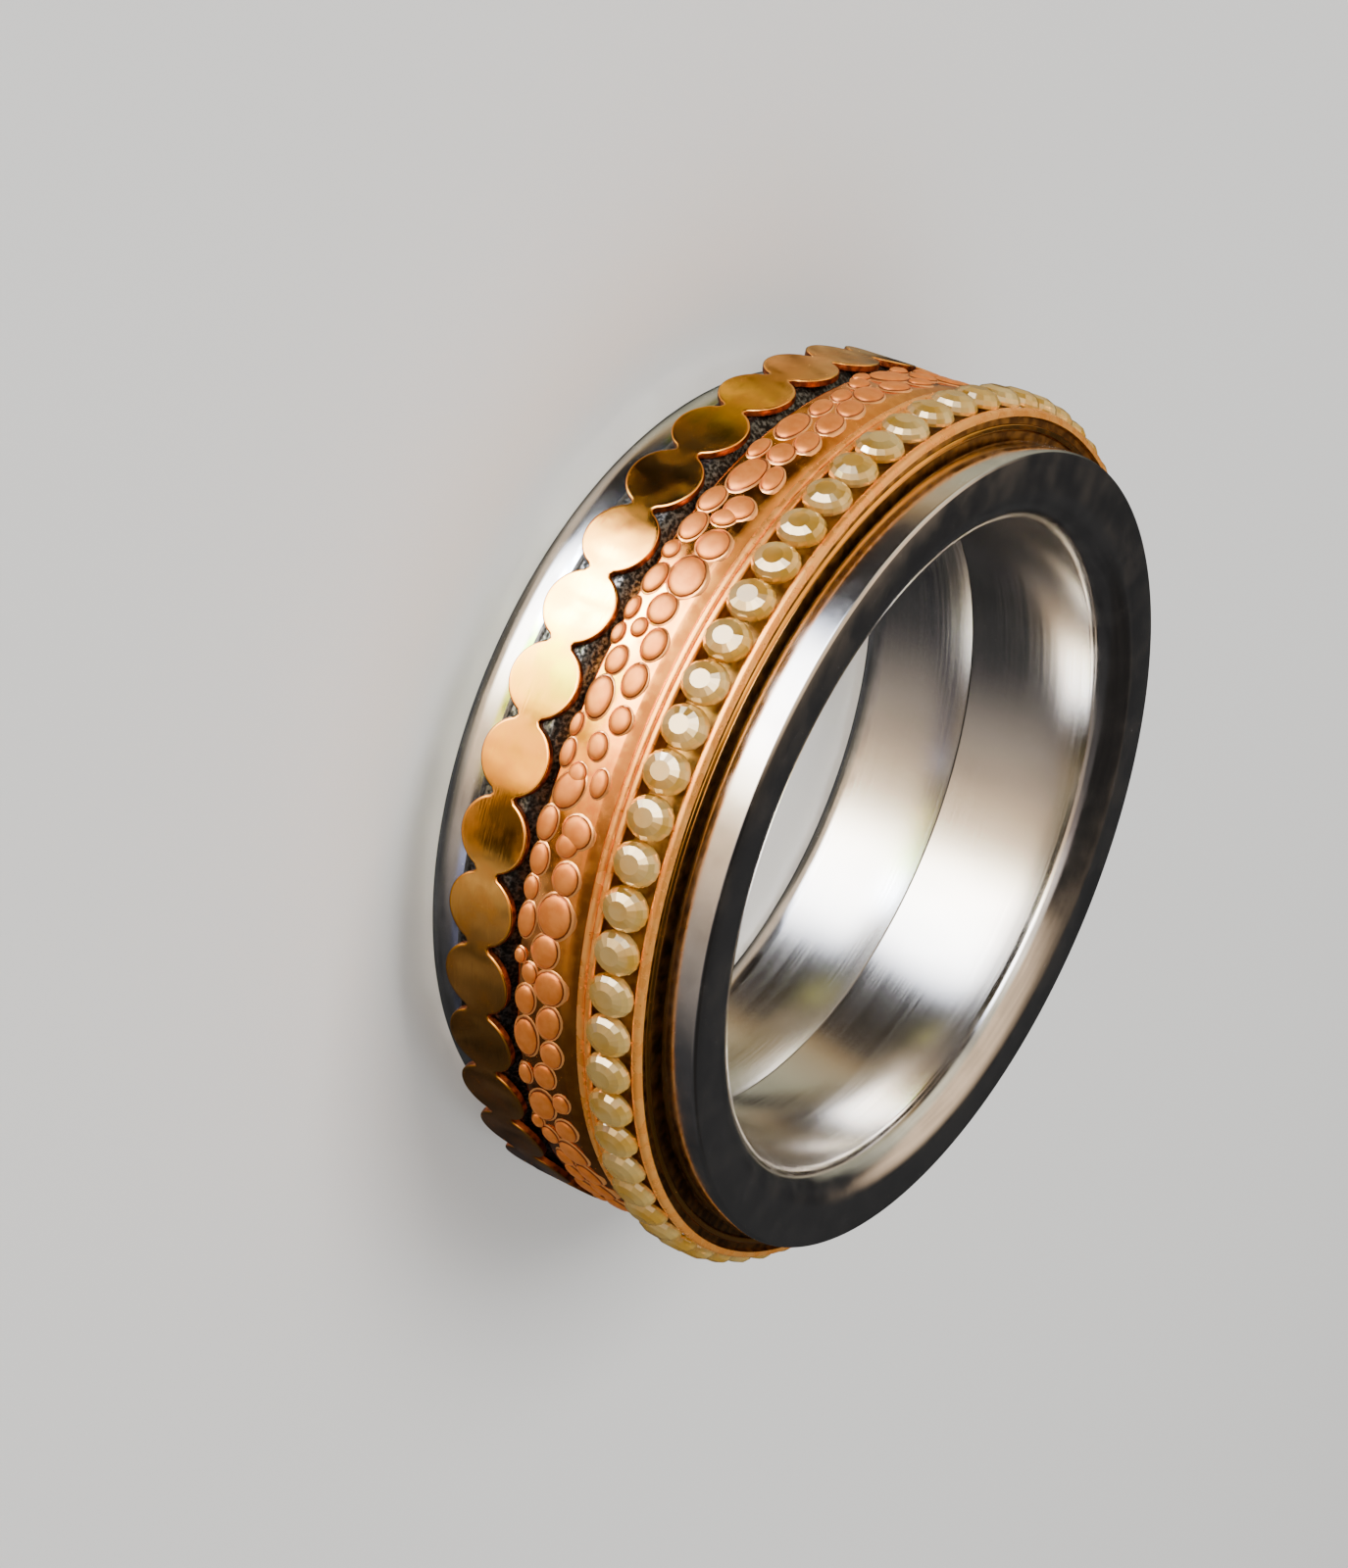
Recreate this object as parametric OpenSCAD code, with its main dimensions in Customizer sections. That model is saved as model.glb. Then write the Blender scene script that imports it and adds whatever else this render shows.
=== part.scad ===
// Interchangeable ring: a base ring with a screw-on end carries three outer rings side by side.
// It lies on its fixed end, +Z runs along the finger, and the origin is the middle of the underside.

/* [Finger and width] */
// Diameter of the hole for the finger
bore_d = 17.2; // [17:0.1:18]
// Whole width of the ring along the finger
ring_w = 8.2; // [8:0.1:9]

/* [Base ring and end cap] */
// How far the two flanges stand out from the hole
flange_h = 1.9; // [1.85:0.05:2]
// Thickness of the fixed flange
far_flange_w = 1.45; // [1.4:0.05:1.6]
// Thickness of the screw-on flange
near_flange_w = 1; // [0.9:0.05:1.2]
// Rounding of the fixed flange's outer edge
far_edge_r = 0.95; // [0.4:0.05:0.95]
// Rounding of the screw-on flange's outer edge
near_edge_r = 0.1; // [0.05:0.05:0.35]
// Rounding of the hole's mouth at the fixed end, measured across the finger
far_mouth_r = 0.8; // [0.4:0.05:0.8]
// The same rounding measured along the finger
far_mouth_w = 0.92; // [0.4:0.02:1.2]
// Rounding of the hole's mouth at the screw-on end, measured across the finger
near_mouth_r = 0.95; // [0.4:0.05:1.2]
// The same rounding measured along the finger
near_mouth_w = 0.83; // [0.4:0.01:1.2]
// Height of the seam inside the hole, where the cap's tube ends
seam_z = 3.72; // [3:0.02:4.4]

/* [Coin ring] */
// Number of coins in the chain
coin_count = 38; // [36:1:38]
// Diameter of a coin
coin_d = 1.86; // [1.7:0.02:1.9]
// Thickness of the chain
coin_t = 0.17; // [0.12:0.01:0.3]
// Width of the neck between two coins
neck_w = 0.6; // [0.4:0.05:0.8]
// Angle by which the coin ring is turned at rest, in degrees
coin_turn = 3; // [0:0.5:9]

/* [Pebble ring] */
// Width of the pebble ring
pebble_w = 1.75; // [1.75:0.01:1.8]
// How far the pebbles stand above their ground
pebble_h = 0.12; // [0.06:0.02:0.3]

/* [Stone ring] */
// Number of stones
stone_count = 66; // [60:1:66]
// Diameter of a stone
stone_d = 0.96; // [0.8:0.02:0.96]
// Width of the rail beside the pebble ring
wide_rail_w = 0.43; // [0.35:0.01:0.43]
// Width of the rail beside the end cap
thin_rail_w = 0.23; // [0.18:0.01:0.23]

/* [Hidden] */
$fn = 96;
// Part of a band's section that its bore cuts away again
bore_stock = 0.3;

// Radii from the hole outwards
bore_r = bore_d / 2;
running_gap = 0.05;
spigot_r = bore_r + 0.35;
socket_r = spigot_r + running_gap;
sleeve_r = bore_r + 1.1;
carrier_r = sleeve_r + running_gap;
flange_r = bore_r + flange_h;

// Widths and places along the finger
side_gap = 0.05;
seam_gap = 0.02;
coin_w = 2;
coin_z = far_flange_w + side_gap;
pebble_z = coin_z + coin_w + side_gap;
stone_z = pebble_z + pebble_w + side_gap;
cap_z = ring_w - near_flange_w;
stone_w = cap_z - side_gap - stone_z;

// Coin ring
coin_band_r = bore_r + 2.56;
coin_bevel = 0.4;
coin_in_r = coin_band_r + 0.02;
coin_out_r = coin_in_r + coin_t;
coin_mid_z = coin_z + coin_w / 2 + 0.03;

// Pebble ring
pebble_ground_r = bore_r + 2.6;
pebble_edge = 0.12;
pebble_margin = 0.32;
pebble_slope = 0.16;
pebble_root = 0.15;
pebble_sides = 10;

// Stone ring
rail_r = bore_r + 2.6;
channel_floor_r = bore_r + 2.13;
channel_z0 = stone_z + wide_rail_w;
channel_z1 = stone_z + stone_w - thin_rail_w;
stone_mid_z = (channel_z0 + channel_z1) / 2;
girdle_r = rail_r;
crown_h = 0.38;
pavilion_h = 0.42;
table_ratio = 0.56;

// Pebbles of one third of the ring. Columns: angle round the ring in degrees, height above the
// ring's lower edge, length, width, and turn of the length away from the ring's direction.
SECTORS = 3;
PEBBLES = [
    // upper row
    [-148.1, 0.99, 0.84, 0.66, 25],
    [-143.0, 1.13, 0.80, 0.56, 20],
    [-138.3, 1.17, 0.84, 0.56, 15],
    [-133.4, 1.18, 0.76, 0.52, 20],
    [-130.1, 0.91, 0.66, 0.56, 20],
    [-125.7, 1.25, 0.74, 0.44, 15],
    [-120.0, 1.09, 0.66, 0.62, 60],
    [-114.1, 1.12, 0.74, 0.70, 0],
    [-109.2, 1.01, 0.94, 0.80, 15],
    [-104.5, 0.89, 0.70, 0.62, 0],
    [-100.2, 1.15, 0.70, 0.54, 0],
    [-95.5, 1.11, 0.72, 0.54, 0],
    [-90.7, 1.19, 0.58, 0.50, 0],
    [-87.0, 0.89, 0.58, 0.46, 10],
    [-83.1, 1.25, 0.60, 0.40, 0],
    [-76.9, 1.07, 0.70, 0.66, 70],
    [-71.1, 1.07, 0.70, 0.62, -10],
    [-66.2, 0.97, 0.94, 0.82, -10],
    [-61.4, 0.83, 0.78, 0.64, -20],
    [-56.8, 1.03, 0.82, 0.72, -35],
    [-51.8, 1.03, 0.86, 0.58, -20],
    [-47.0, 1.07, 0.72, 0.54, -20],
    [-42.8, 0.79, 0.74, 0.54, -20],
    [-38.9, 1.15, 0.62, 0.42, -20],
    [-33.4, 1.07, 0.76, 0.56, -20],
    // lower row
    [-150.4, 0.43, 0.60, 0.42, 0],
    [-145.4, 0.57, 0.62, 0.42, 10],
    [-141.1, 0.55, 0.74, 0.44, 10],
    [-135.6, 0.49, 1.00, 0.60, 5],
    [-129.8, 0.32, 0.66, 0.38, 0],
    [-125.1, 0.63, 1.02, 0.66, -5],
    [-120.0, 0.33, 0.72, 0.50, -5],
    [-115.6, 0.37, 0.74, 0.52, 0],
    [-111.8, 0.25, 0.44, 0.38, 0],
    [-107.7, 0.31, 0.72, 0.46, -5],
    [-103.4, 0.19, 0.52, 0.30, 0],
    [-101.5, 0.59, 0.42, 0.36, 0],
    [-100.0, 0.17, 0.46, 0.28, 0],
    [-97.0, 0.45, 0.62, 0.46, -5],
    [-92.3, 0.45, 0.88, 0.58, 5],
    [-88.5, 0.17, 0.50, 0.28, 0],
    [-85.1, 0.21, 0.60, 0.34, 0],
    [-81.2, 0.55, 0.88, 0.62, -25],
    [-76.6, 0.25, 0.74, 0.46, -5],
    [-72.2, 0.27, 0.68, 0.44, 0],
    [-68.5, 0.21, 0.54, 0.36, 0],
    [-64.4, 0.23, 0.78, 0.42, -5],
    [-59.6, 0.15, 0.36, 0.26, 0],
    [-57.7, 0.45, 0.50, 0.38, 0],
    [-53.8, 0.35, 0.72, 0.50, -10],
    [-48.2, 0.35, 0.98, 0.60, -5],
    [-41.8, 0.19, 0.60, 0.34, -5],
    [-36.8, 0.51, 1.04, 0.66, -20],
    [-32.8, 0.19, 0.50, 0.32, -10]
];
// Second lobes of the pebbles that are shaped like a kidney, with the same columns.
LOBES = [
    [-118.1, 0.93, 0.56, 0.46, -60],
    [-75.0, 0.91, 0.56, 0.48, -40],
    [-83.2, 0.63, 0.48, 0.42, 0]
];

// A solid of revolution about +Z from points of radius and height
module turned(outline) {
    rotate_extrude() polygon(outline);
}

// Points of a quarter round about a centre, from one angle to another
function arc(cr, cz, r, from, to, steps = 12) =
    [for (i = [0:steps]) let (a = from + (to - from) * i / steps) [cr + r * cos(a), cz + r * sin(a)]];

// A plain tube that stands on a height
module tube(r_in, r_out, z, h) {
    translate([0, 0, z]) difference() {
        cylinder(r = r_out, h = h);
        translate([0, 0, -1]) cylinder(r = r_in, h = h + 2);
    }
}

// Fixed flange, the lower half of the hole, and the sleeve round which the outer rings lie
module base_ring() {
    color("#8d8a86") difference() {
        union() {
            turned(concat(
                [[bore_r - bore_stock, 0], [flange_r - far_edge_r, 0]],
                arc(flange_r - far_edge_r, far_edge_r, far_edge_r, -90, 0),
                [[flange_r, far_flange_w], [bore_r - bore_stock, far_flange_w]]
            ));
            cylinder(r = sleeve_r, h = cap_z - side_gap);
        }
        translate([0, 0, -1]) cylinder(r = bore_r, h = ring_w + 2);
        translate([0, 0, seam_z]) cylinder(r = socket_r, h = ring_w);
        mouth_cutter(far_mouth_r, far_mouth_w);
    }
}

// Takes the sharp corner off the lower mouth of the hole, by one amount across and another along
module mouth_cutter(across, along) {
    turned(concat(
        [[bore_r - 0.5, -0.5], [bore_r + across, -0.5]],
        [for (a = [270:-7.5:180]) [bore_r + across * (1 + cos(a)), along * (1 + sin(a))]],
        [[bore_r - 0.5, along]]
    ));
}

// Screw-on flange with the tube that fills the upper half of the sleeve
module end_cap() {
    color("#8d8a86") difference() {
        union() {
            turned(concat(
                [[bore_r - bore_stock, cap_z], [flange_r, cap_z]],
                arc(flange_r - near_edge_r, ring_w - near_edge_r, near_edge_r, 0, 90),
                [[bore_r - bore_stock, ring_w]]
            ));
            translate([0, 0, seam_z + seam_gap]) cylinder(r = spigot_r, h = cap_z - seam_z);
        }
        translate([0, 0, -1]) cylinder(r = bore_r, h = ring_w + 2);
        translate([0, 0, ring_w]) mirror([0, 0, 1]) mouth_cutter(near_mouth_r, near_mouth_w);
    }
}

// Steel carrier of the coins, bevelled at both edges
module coin_band() {
    color("#4a4744") difference() {
        turned([
            [carrier_r - bore_stock, coin_z], [coin_band_r - coin_bevel, coin_z],
            [coin_band_r, coin_z + coin_bevel], [coin_band_r, coin_z + coin_w - coin_bevel],
            [coin_band_r - coin_bevel, coin_z + coin_w], [carrier_r - bore_stock, coin_z + coin_w]
        ]);
        translate([0, 0, -1]) cylinder(r = carrier_r, h = ring_w + 2);
    }
}

// Coins and necks, cut out of one thin tube
module coin_chain() {
    pitch = 360 / coin_count;
    color("#d99a5f") intersection() {
        tube(coin_in_r, coin_out_r, coin_mid_z - coin_d, 2 * coin_d);
        union() {
            for (i = [0:coin_count - 1]) rotate([0, 0, coin_turn + i * pitch]) {
                translate([coin_in_r - 0.5, 0, coin_mid_z]) rotate([0, 90, 0]) cylinder(d = coin_d, h = 2);
                rotate([0, 0, pitch / 2]) translate([coin_in_r - 0.5, -coin_d / 4, coin_mid_z - neck_w / 2])
                    cube([2, coin_d / 2, neck_w]);
            }
        }
    }
}

// Rings of points of one pebble: below the ground, shoulder and flat top
function pebble_ring_at(p, h, k) =
    [for (i = [0:pebble_sides - 1])
        let (
            a = 360 * i / pebble_sides,
            x = k * p[2] / 2 * cos(a),
            y = k * p[3] / 2 * sin(a),
            along = x * cos(p[4]) - y * sin(p[4]),
            up = x * sin(p[4]) + y * cos(p[4]),
            r = pebble_ground_r + h,
            turn = p[0] + along / r * 180 / PI
        ) [r * cos(turn), r * sin(turn), pebble_z + p[1] + up]];

function pebble_points(p) = concat(
    pebble_ring_at(p, -pebble_root, 1),
    pebble_ring_at(p, pebble_h * 0.6, 0.96),
    pebble_ring_at(p, pebble_h, 0.75)
);

// Faces of one pebble whose points start at a number in the list
function pebble_faces(start) = let (n = pebble_sides) concat(
    [[for (i = [0:n - 1]) start + i]],
    [for (k = [0:1], i = [0:n - 1]) let (j = (i + 1) % n)
        [start + k * n + i, start + k * n + n + i, start + k * n + n + j, start + k * n + j]],
    [[for (i = [0:n - 1]) start + 3 * n - 1 - i]]
);

// All pebbles of a list, three times round the ring, as one set of closed shells
module pebble_field(list) {
    rows = [for (s = [0:SECTORS - 1], p = list) [p[0] + s * 360 / SECTORS, p[1], p[2], p[3], p[4]]];
    polyhedron(
        points = [for (p = rows) each pebble_points(p)],
        faces = [for (i = [0:len(rows) - 1]) each pebble_faces(3 * pebble_sides * i)]
    );
}

// Band with a narrow slope at each edge, and the raised pebbles
module pebble_ring() {
    top = pebble_z + pebble_w;
    color("#c98a63") union() {
        difference() {
            turned([
                [carrier_r - bore_stock, pebble_z], [pebble_ground_r - pebble_edge, pebble_z],
                [pebble_ground_r, pebble_z + pebble_edge], [pebble_ground_r, top - pebble_margin - 0.02],
                [pebble_ground_r - pebble_slope, top - 0.02], [pebble_ground_r - pebble_slope - 0.04, top],
                [carrier_r - bore_stock, top]
            ]);
            translate([0, 0, -1]) cylinder(r = carrier_r, h = ring_w + 2);
        }
        pebble_field(PEBBLES);
        pebble_field(LOBES);
    }
}

// Channel that holds the stones, with a wide rail below and a thin rail above
module stone_band() {
    top = stone_z + stone_w;
    color("#d8a272") difference() {
        turned([
            [carrier_r - bore_stock, stone_z], [rail_r - 0.06, stone_z], [rail_r, stone_z + 0.06],
            [rail_r + 0.05, stone_z + 0.2], [rail_r, channel_z0 - 0.04],
            [rail_r - 0.1, channel_z0], [channel_floor_r, channel_z0],
            [channel_floor_r, channel_z1], [rail_r - 0.1, channel_z1],
            [rail_r, channel_z1 + 0.05], [rail_r, top - 0.05],
            [rail_r - 0.05, top], [carrier_r - bore_stock, top]
        ]);
        translate([0, 0, -1]) cylinder(r = carrier_r, h = ring_w + 2);
    }
}

// One round stone with its table up: eight-sided table, sixteen-sided girdle, pointed below
module cut_stone() {
    r = stone_d / 2;
    polyhedron(
        points = concat(
            [for (i = [0:7]) [table_ratio * r * cos(45 * i), table_ratio * r * sin(45 * i), crown_h]],
            [for (i = [0:15]) [r * cos(22.5 * i), r * sin(22.5 * i), 0]],
            [[0, 0, -pavilion_h]]
        ),
        faces = concat(
            [[for (i = [0:7]) 7 - i]],
            [for (i = [0:7]) [i, 8 + 2 * i, 8 + (2 * i + 15) % 16]],
            [for (i = [0:7]) [i, 8 + (2 * i + 1) % 16, 8 + 2 * i]],
            [for (i = [0:7]) [i, (i + 1) % 8, 8 + 2 * i + 1]],
            [for (i = [0:15]) [8 + i, 8 + (i + 1) % 16, 24]]
        )
    );
}

// The row of stones, each set square to the ring
module stones() {
    color("#e9dcc0") for (i = [0:stone_count - 1])
        rotate([0, 0, i * 360 / stone_count]) translate([girdle_r, 0, stone_mid_z])
            rotate([0, 90, 0]) cut_stone();
}

base_ring();
end_cap();
coin_band();
coin_chain();
pebble_ring();
stone_band();
stones();
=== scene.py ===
# %% [markdown]
# # An interchangeable ring
# The real thing is a steel base ring with a screw-on end, and three loose outer rings that slip over its
# sleeve: a chain of flat coins, a cast relief of pebbles and a channel set with stones.
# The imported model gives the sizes, the places and the bodies that turn. This lesson models every visible
# piece again in finer shape, finishes it, and lights it as a jeweller's photographer would.

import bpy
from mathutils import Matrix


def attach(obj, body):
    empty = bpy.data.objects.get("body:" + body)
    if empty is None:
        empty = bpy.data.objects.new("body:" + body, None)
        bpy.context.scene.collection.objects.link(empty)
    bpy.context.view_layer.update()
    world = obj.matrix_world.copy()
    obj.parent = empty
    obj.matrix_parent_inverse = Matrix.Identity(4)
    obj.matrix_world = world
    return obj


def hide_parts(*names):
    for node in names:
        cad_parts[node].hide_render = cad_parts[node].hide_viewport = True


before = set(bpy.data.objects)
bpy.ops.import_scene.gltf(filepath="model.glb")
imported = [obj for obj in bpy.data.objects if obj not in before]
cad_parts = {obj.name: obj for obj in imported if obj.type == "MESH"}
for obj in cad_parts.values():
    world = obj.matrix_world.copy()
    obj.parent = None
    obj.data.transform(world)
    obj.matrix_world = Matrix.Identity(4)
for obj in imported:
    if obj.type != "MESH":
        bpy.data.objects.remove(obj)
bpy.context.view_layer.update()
print("nodes:", sorted(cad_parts))

# %% [markdown]
# ## Units, colours and nodes
# Blender works in metres, and a ring is measured in millimetres, so one value turns one into the other.
# Colours are written as the hex values that a screen shows. The shader wants them linear, so one function
# converts them. One more function adds a shader node with its settings and its links, because a material
# is read most easily as a short list of such lines. A finish later on is made of nothing else.

# %% Units, colours and nodes
import math

import bmesh
import bpy
from mathutils import Matrix, Quaternion, Vector

MM = 0.001


def linear(hex_colour):
    """Turns a screen colour such as #d0a070 into the linear colour that shaders use."""
    channels = [int(hex_colour[i:i + 2], 16) / 255 for i in (1, 3, 5)]
    return [c / 12.92 if c <= 0.04045 else ((c + 0.055) / 1.055) ** 2.4 for c in channels] + [1.0]


def add(tree, kind, inputs=None, **settings):
    """Adds a node. An input is a value, a socket, or another node, which then gives its first output."""
    node = tree.nodes.new(kind)
    for name, value in settings.items():
        setattr(node, name, value)
    for name, value in (inputs or {}).items():
        if isinstance(value, bpy.types.Node):
            value = value.outputs[0]
        if isinstance(value, bpy.types.NodeSocket):
            tree.links.new(value, node.inputs[name])
        else:
            node.inputs[name].default_value = value
    return node


def new_material(name):
    """Makes an empty material with its output node, and gives back the material and its tree."""
    material = bpy.data.materials.new(name)
    material.use_nodes = True
    material.node_tree.nodes.clear()
    add(material.node_tree, "ShaderNodeOutputMaterial")
    return material, material.node_tree


def show(tree, shader):
    """Links the finished shader to the material's output."""
    tree.links.new(shader.outputs[0], tree.nodes["Material Output"].inputs["Surface"])


print("orange in linear light:", [round(c, 3) for c in linear("#f2b074")])

# %% [markdown]
# ## The camera
# The ring lies on its fixed end, so that nothing has to hold it up. The camera keeps its angle to the ring:
# 27 degrees above the floor, close in front, and rolled over by 112 degrees, so that the finger's
# direction runs across the picture from left to right. A long lens at 79.5 mm from the ring gives the
# perspective of a close-up.

# %% The camera
EYE = Vector((0, -69.25, 39.33)) * MM
AIM = Vector((0.85, 0, 0.29)) * MM
ROLL = math.radians(112.5)

bpy.ops.object.camera_add(location=EYE)
camera = bpy.context.object
level = (AIM - EYE).to_track_quat("-Z", "Y")
camera.rotation_euler = (level @ Quaternion((0, 0, 1), ROLL)).to_euler()
camera.data.sensor_fit = "HORIZONTAL"
camera.data.sensor_width = 36
camera.data.lens = 81.19
camera.data.clip_start = 1 * MM
bpy.context.scene.camera = camera
print("camera", round((AIM - EYE).length / MM, 1), "mm from the middle of the ring")

# %% [markdown]
# ## The floor
# The floor is a plain pale board. A real jewel mirrors the whole room, and a polished metal shows little
# but those reflections. So the floor is hidden from reflections here, and a room takes its place below.

# %% The floor
bpy.ops.mesh.primitive_plane_add(size=6, location=(0, 0, -0.01 * MM))
floor = bpy.context.object
floor.name = "floor"
floor.visible_glossy = False
paper, tree = new_material("matt paper")
show(tree, add(tree, "ShaderNodeBsdfDiffuse", {"Color": linear("#d6d4d0")}))
floor.data.materials.append(paper)
print("floor", [round(d, 2) for d in floor.dimensions], "m")

# %% [markdown]
# ## Soft studio light
# A dim even sky fills the shadows, and two large soft boxes light the floor and the ring from above.

# %% Soft studio light
world = bpy.data.worlds.new("studio")
bpy.context.scene.world = world
world.use_nodes = True
world.node_tree.nodes["Background"].inputs["Color"].default_value = linear("#e9ecf0")
world.node_tree.nodes["Background"].inputs["Strength"].default_value = 0.55
world.cycles_visibility.glossy = False


def toward(azimuth, elevation, distance):
    """A point seen from the ring in a direction, in degrees, at a distance in millimetres."""
    a = math.radians(azimuth)
    e = math.radians(elevation)
    return Vector((math.cos(e) * math.cos(a), math.cos(e) * math.sin(a), math.sin(e))) * distance * MM


def soft_box(name, azimuth, elevation, size, power):
    """Adds a square lamp that faces the ring, with its size in millimetres."""
    place = toward(azimuth, elevation, 300)
    facing = (-place).to_track_quat("-Z", "Y").to_euler()
    bpy.ops.object.light_add(type="AREA", location=place, rotation=facing)
    lamp = bpy.context.object
    lamp.name = name
    lamp.data.size = size * MM
    lamp.data.energy = power
    lamp.visible_glossy = False
    return lamp


soft_box("key light", -150, 55, 160, 0.9)
soft_box("fill light", 20, 65, 260, 0.5)

# %% [markdown]
# ## A room for the reflections
# Polished metal shows little but what surrounds it, and each band of light on a ring is a picture of a
# window, a wall or a card near it. So the ring gets a room of its own: a large sphere that only reflections
# and the clear stones see. An upright wall of the ring mirrors what lies lower than itself, down past the
# floor, and the hole mirrors its own far side, then the room above. So the room has a lower, an upper and an
# under band, each coloured by azimuth, the direction round the ring, and a canvas ceiling. One side is
# dark board, and the other has a window, with dark and light cards beside it.

# %% Two colours that run into each other


def blend(tree, pattern, start, end, first, second):
    """Goes softly from one colour to another while a pattern goes from start to end."""
    share = add(tree, "ShaderNodeMapRange", {
        "Value": pattern, "From Min": start, "From Max": end,
    }, interpolation_type="SMOOTHSTEP")
    pair = [linear(colour) if isinstance(colour, str) else colour for colour in (first, second)]
    inputs = {"Factor": share, 6: pair[0], 7: pair[1]}
    return add(tree, "ShaderNodeMix", inputs, data_type="RGBA").outputs[2]


# %% The bands of the room
# A stop is an azimuth in degrees, a tint, and a brightness. Azimuth -90 is the camera's side.
BRIGHTEST = 20
LOWER_BAND = [
    (-180, "#ffd9a0", 0.5),
    (-173, "#e8d8c8", 0.12),
    (-160, "#e8d8c8", 0.05),
    (-139, "#e6dcd6", 0.05),
    (-134, "#dfe9ff", 5.0),
    (-124, "#f4f8ff", 16.0),
    (-97, "#fffaf2", 18.0),
    (-90, "#fff4dc", 12.0),
    (-84, "#ffeccc", 5.5),
    (-76, "#ffe2bc", 2.4),
    (-66, "#ffe0bc", 1.4),
    (-56, "#f9e0c6", 0.8),
    (-42, "#f3e3d3", 0.55),
    (-30, "#efe4dc", 0.34),
    (-14, "#dfdfe4", 0.1),
    (20, "#dfe2e6", 0.055),
    (118, "#dfe2e4", 0.06),
    (136, "#f1f0d6", 0.55),
    (160, "#f6f2cf", 0.72),
    (174, "#ffe6b8", 0.74),
]
UPPER_BAND = [
    (-180, "#fbf3d8", 1.6),
    (-160, "#fbf3d8", 1.3),
    (-146, "#fbf6e2", 0.8),
    (-130, "#fbf6e2", 1.5),
    (-112, "#fff9ec", 2.6),
    (-96, "#fff4e8", 1.6),
    (-80, "#fff0e8", 1.5),
    (-66, "#f7e4de", 0.5),
    (-50, "#e8dfdd", 0.2),
    (-10, "#dfe0e4", 0.08),
    (20, "#dfe2e6", 0.055),
    (130, "#dfe2e6", 0.06),
    (152, "#f0efd8", 0.9),
]
UNDER_BAND = [
    (-180, "#f6e0c4", 1.3),
    (-140, "#f6e2c8", 1.5),
    (-75, "#f6dcb8", 1.5),
    (-58, "#e8dcc8", 0.7),
    (-42, "#e8dcc8", 0.4),
    (-16, "#e0dcd4", 0.2),
    (20, "#dfe2e6", 0.1),
    (90, "#dfe2e6", 0.15),
    (115, "#eadfcc", 0.3),
    (150, "#f0e4d0", 0.7),
]


def glowing(hex_colour, level, brightest=BRIGHTEST):
    """An even colour of the room, with its brightness."""
    return [part * level / brightest for part in linear(hex_colour)[:3]] + [1]


def band(tree, place, stops, brightest=BRIGHTEST):
    """A ramp of colours by azimuth."""
    node = add(tree, "ShaderNodeValToRGB", {"Fac": place})
    elements = node.color_ramp.elements
    colours = [glowing(tint, level, brightest) for azimuth, tint, level in stops]
    elements[0].color = colours[0]
    elements[1].color = colours[0]
    for stop, colour in zip(stops[1:], colours[1:]):
        elements.new((stop[0] + 180) / 360).color = colour
    return node.outputs["Color"]


def direction_round(tree, split, pattern, waver):
    """The direction round the ring, from 0 to 1, which wavers a little with a pattern."""
    turned = add(tree, "ShaderNodeMath", {0: split.outputs["Y"], 1: split.outputs["X"]}, operation="ARCTAN2")
    share = add(tree, "ShaderNodeMath", {0: turned, 1: 2 * math.pi}, operation="DIVIDE")
    share = add(tree, "ShaderNodeMath", {0: share, 1: 0.5}, operation="ADD")
    shift = add(tree, "ShaderNodeMath", {0: pattern, 1: 0.5}, operation="SUBTRACT")
    shift = add(tree, "ShaderNodeMath", {0: shift, 1: waver}, operation="MULTIPLY")
    share = add(tree, "ShaderNodeMath", {0: share, 1: shift}, operation="ADD")
    return add(tree, "ShaderNodeMath", {0: share}, operation="FRACT")


print("stops in the bands:", len(LOWER_BAND), len(UPPER_BAND), len(UNDER_BAND))

# %% A room for the reflections
bpy.ops.mesh.primitive_uv_sphere_add(segments=48, ring_count=24, radius=0.6)
room = bpy.context.object
room.name = "room"
walls, tree = new_material("room walls")
place = add(tree, "ShaderNodeTexCoord").outputs["Object"]
way = add(tree, "ShaderNodeVectorMath", {0: place}, operation="NORMALIZE")
split = add(tree, "ShaderNodeSeparateXYZ", {"Vector": way})
folds = add(tree, "ShaderNodeTexNoise", {"Vector": way, "Scale": 5.0, "Detail": 4.0})
azimuth = direction_round(tree, split, folds, 0.012)
rise = split.outputs["Z"]
lower = band(tree, azimuth, LOWER_BAND)
upper = band(tree, azimuth, UPPER_BAND)
under = band(tree, azimuth, UNDER_BAND)
ceiling = blend(tree, split.outputs["X"], 0.05, -0.3, glowing("#e8e4e0", 0.04), glowing("#ffe2c0", 1.5))
glow = blend(tree, rise, 0.16, 0.34, lower, upper)
glow = blend(tree, rise, -0.72, -0.88, glow, under)
glow = blend(tree, rise, -0.955, -0.99, glow, glowing("#e8e0d0", 0.25))
glow = blend(tree, rise, 0.52, 0.7, glow, ceiling)
strength = add(tree, "ShaderNodeMapRange", {
    "Value": folds, "From Min": 0.3, "From Max": 0.7,
    "To Min": 0.85 * BRIGHTEST, "To Max": 1.15 * BRIGHTEST,
}, interpolation_type="SMOOTHSTEP")
show(tree, add(tree, "ShaderNodeEmission", {"Color": glow, "Strength": strength}))
walls.cycles.emission_sampling = "NONE"
room.data.materials.append(walls)
room.visible_camera = False
room.visible_diffuse = False
room.visible_shadow = False
print("room", round(room.dimensions.x, 2), "m across")

# %% [markdown]
# ## A strip of cards for the coins
# The chain of coins mirrors what lies closest in front of the ring. A narrow strip of cards goes round the
# ring, just below the floor's level, tilted so that the coins at the sides see it too: white paper in front,
# yellow and orange paper beside it, and torn dark paper at both ends.

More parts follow.
